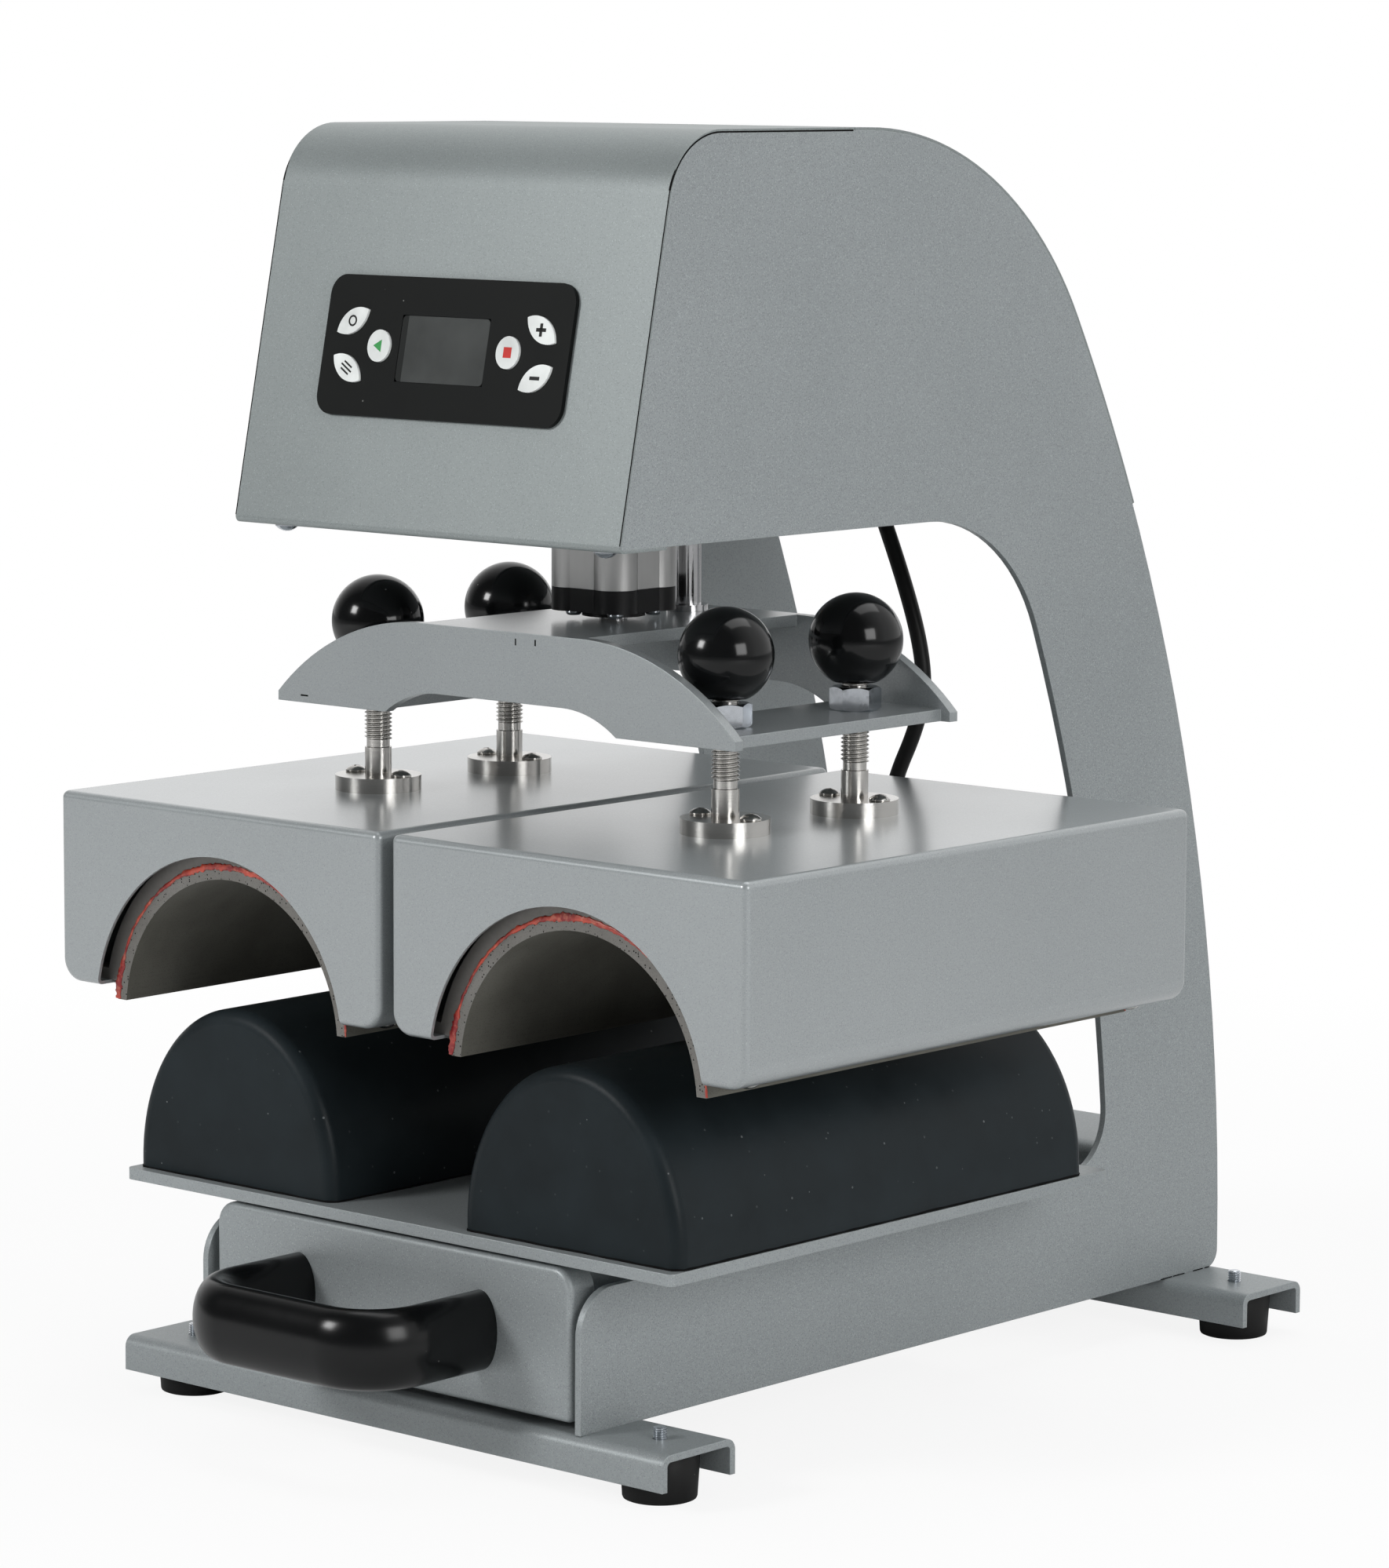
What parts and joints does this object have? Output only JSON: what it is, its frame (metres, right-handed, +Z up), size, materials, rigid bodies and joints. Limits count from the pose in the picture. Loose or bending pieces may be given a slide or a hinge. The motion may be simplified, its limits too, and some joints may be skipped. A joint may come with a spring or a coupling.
{
  "type": "heat press",
  "caption": "Bench heat press with arched heated platens on an air cylinder, adjusting studs with ball knobs, and shin-shaped formers on a pull-out table.",
  "frame": {"origin": "centre of the part's box on the surface that the rubber feet stand on", "axes": "+Z up, +X to the operator's right, the operator stands on the -Y side"},
  "size_m": [0.393, 0.504, 0.5462],
  "materials": {
    "silver_powder_coat": "satin metallic powder coat",
    "aluminium": "satin",
    "ground_steel": "polished",
    "stainless_steel": "turned",
    "zinc_plated_steel": "bright zinc",
    "black_phenolic": "gloss",
    "white_key_plastic": "satin",
    "former_rubber": "satin",
    "liner_foam": "matte",
    "foot_rubber": "matte",
    "black_anodised": "matte anodised",
    "bronze": "satin",
    "black_panel": "matte",
    "grey_screen": "satin",
    "board_green": "matte",
    "cable_rubber": "matte",
    "black_nylon": "matte",
    "nickel_brass": "nickel plated"
  },
  "bodies": {
    "frame": {"rubber_feet": "foot_rubber", "front_channel": "silver_powder_coat", "rear_channel": "silver_powder_coat", "left_side_plate": "silver_powder_coat", "right_side_plate": "silver_powder_coat", "rear_deck": "silver_powder_coat", "front_cover": "silver_powder_coat", "rear_cover": "silver_powder_coat", "head_floor": "silver_powder_coat", "cylinder_beam": "silver_powder_coat", "cylinder_barrel": "aluminium", "cylinder_cap": "black_anodised", "guide_bush": "bronze", "outer_rails": "zinc_plated_steel", "panel_bezel": "black_panel", "panel_screen": "grey_screen", "control_board": "board_green", "power_inlet": "black_nylon", "air_fitting": "nickel_brass", "solenoid_valve": "black_nylon", "solid_state_relay": "black_nylon", "heater_cable": "cable_rubber"},
    "press_head": {"bridge": "silver_powder_coat", "lock_nuts": "zinc_plated_steel", "piston_rod": "ground_steel", "guide_rod": "ground_steel"},
    "left_platen": {"left_housing": "silver_powder_coat", "left_heater_shell": "aluminium", "left_liner": "liner_foam", "left_stud_flanges": "stainless_steel", "left_platen_screws": "stainless_steel"},
    "right_platen": {"right_housing": "silver_powder_coat", "right_heater_shell": "aluminium", "right_liner": "liner_foam", "right_stud_flanges": "stainless_steel", "right_platen_screws": "stainless_steel", "cable_gland": "black_nylon"},
    "drawer": {"drawer_front": "silver_powder_coat", "drawer_tray": "silver_powder_coat", "drawer_handle": "black_phenolic", "table_plate": "silver_powder_coat", "left_former": "former_rubber", "right_former": "former_rubber", "inner_rails": "zinc_plated_steel"},
    "rail_carriage": {"middle_rails": "zinc_plated_steel"},
    "rocker": {"power_rocker": "black_nylon"},
    "left_front_adjuster": {"left_front_stud": "stainless_steel", "left_front_knob": "black_phenolic"},
    "left_rear_adjuster": {"left_rear_stud": "stainless_steel", "left_rear_knob": "black_phenolic"},
    "right_front_adjuster": {"right_front_stud": "stainless_steel", "right_front_knob": "black_phenolic"},
    "right_rear_adjuster": {"right_rear_stud": "stainless_steel", "right_rear_knob": "black_phenolic"},
    "set_button": {"set_key": "white_key_plastic"},
    "mode_button": {"mode_key": "white_key_plastic"},
    "enter_button": {"enter_key": "white_key_plastic"},
    "stop_button": {"stop_key": "white_key_plastic"},
    "plus_button": {"plus_key": "white_key_plastic"},
    "minus_button": {"minus_key": "white_key_plastic"}
  },
  "joints": [
    {"name": "press_slide", "type": "slide", "parent": "frame", "child": "press_head", "axis": [0, 0, -1], "range_m": [0, 0.05], "deforming": ["heater_cable"]},
    {"name": "drawer_slide", "type": "slide", "parent": "frame", "child": "drawer", "axis": [0, -1, 0], "range_m": [0, 0.28]},
    {"name": "rail_slide", "type": "slide", "parent": "frame", "child": "rail_carriage", "axis": [0, -1, 0], "range_m": [0, 0.14]},
    {"name": "left_platen_adjust", "type": "slide", "parent": "press_head", "child": "left_platen", "axis": [0, 0, 1], "range_m": [-0.00174, 0.01399]},
    {"name": "left_front_turn", "type": "hinge", "parent": "left_platen", "child": "left_front_adjuster", "pos_m": [-0.1, -0.084, 0.31], "axis": [0, 0, 1], "range_deg": [-360, 2880]},
    {"name": "left_rear_turn", "type": "hinge", "parent": "left_platen", "child": "left_rear_adjuster", "pos_m": [-0.1, -0.001, 0.31], "axis": [0, 0, 1], "range_deg": [-360, 2880]},
    {"name": "right_platen_adjust", "type": "slide", "parent": "press_head", "child": "right_platen", "axis": [0, 0, 1], "range_m": [-0.00174, 0.01399]},
    {"name": "right_front_turn", "type": "hinge", "parent": "right_platen", "child": "right_front_adjuster", "pos_m": [0.1, -0.084, 0.31], "axis": [0, 0, 1], "range_deg": [-360, 2880]},
    {"name": "right_rear_turn", "type": "hinge", "parent": "right_platen", "child": "right_rear_adjuster", "pos_m": [0.1, -0.001, 0.31], "axis": [0, 0, 1], "range_deg": [-360, 2880]},
    {"name": "set_press", "type": "slide", "parent": "frame", "child": "set_button", "axis": [0, 0.9792, -0.2028], "range_m": [0, 0.0008], "stiffness_N_per_m": 1500},
    {"name": "mode_press", "type": "slide", "parent": "frame", "child": "mode_button", "axis": [0, 0.9792, -0.2028], "range_m": [0, 0.0008], "stiffness_N_per_m": 1500},
    {"name": "enter_press", "type": "slide", "parent": "frame", "child": "enter_button", "axis": [0, 0.9792, -0.2028], "range_m": [0, 0.0008], "stiffness_N_per_m": 1500},
    {"name": "stop_press", "type": "slide", "parent": "frame", "child": "stop_button", "axis": [0, 0.9792, -0.2028], "range_m": [0, 0.0008], "stiffness_N_per_m": 1500},
    {"name": "plus_press", "type": "slide", "parent": "frame", "child": "plus_button", "axis": [0, 0.9792, -0.2028], "range_m": [0, 0.0008], "stiffness_N_per_m": 1500},
    {"name": "minus_press", "type": "slide", "parent": "frame", "child": "minus_button", "axis": [0, 0.9792, -0.2028], "range_m": [0, 0.0008], "stiffness_N_per_m": 1500},
    {"name": "rocker_pivot", "type": "hinge", "parent": "frame", "child": "rocker", "pos_m": [-0.071, 0.16041, 0.42], "axis": [1, 0, 0], "range_deg": [-7, 7]}
  ],
  "couplings": [
    {"joint": "rail_slide", "follows": "drawer_slide", "ratio": 0.5},
    {"joint": "left_front_turn", "follows": "left_platen_adjust", "rad_per_m": 3590.4},
    {"joint": "left_rear_turn", "follows": "left_platen_adjust", "rad_per_m": 3590.4},
    {"joint": "right_front_turn", "follows": "right_platen_adjust", "rad_per_m": 3590.4},
    {"joint": "right_rear_turn", "follows": "right_platen_adjust", "rad_per_m": 3590.4}
  ]
}
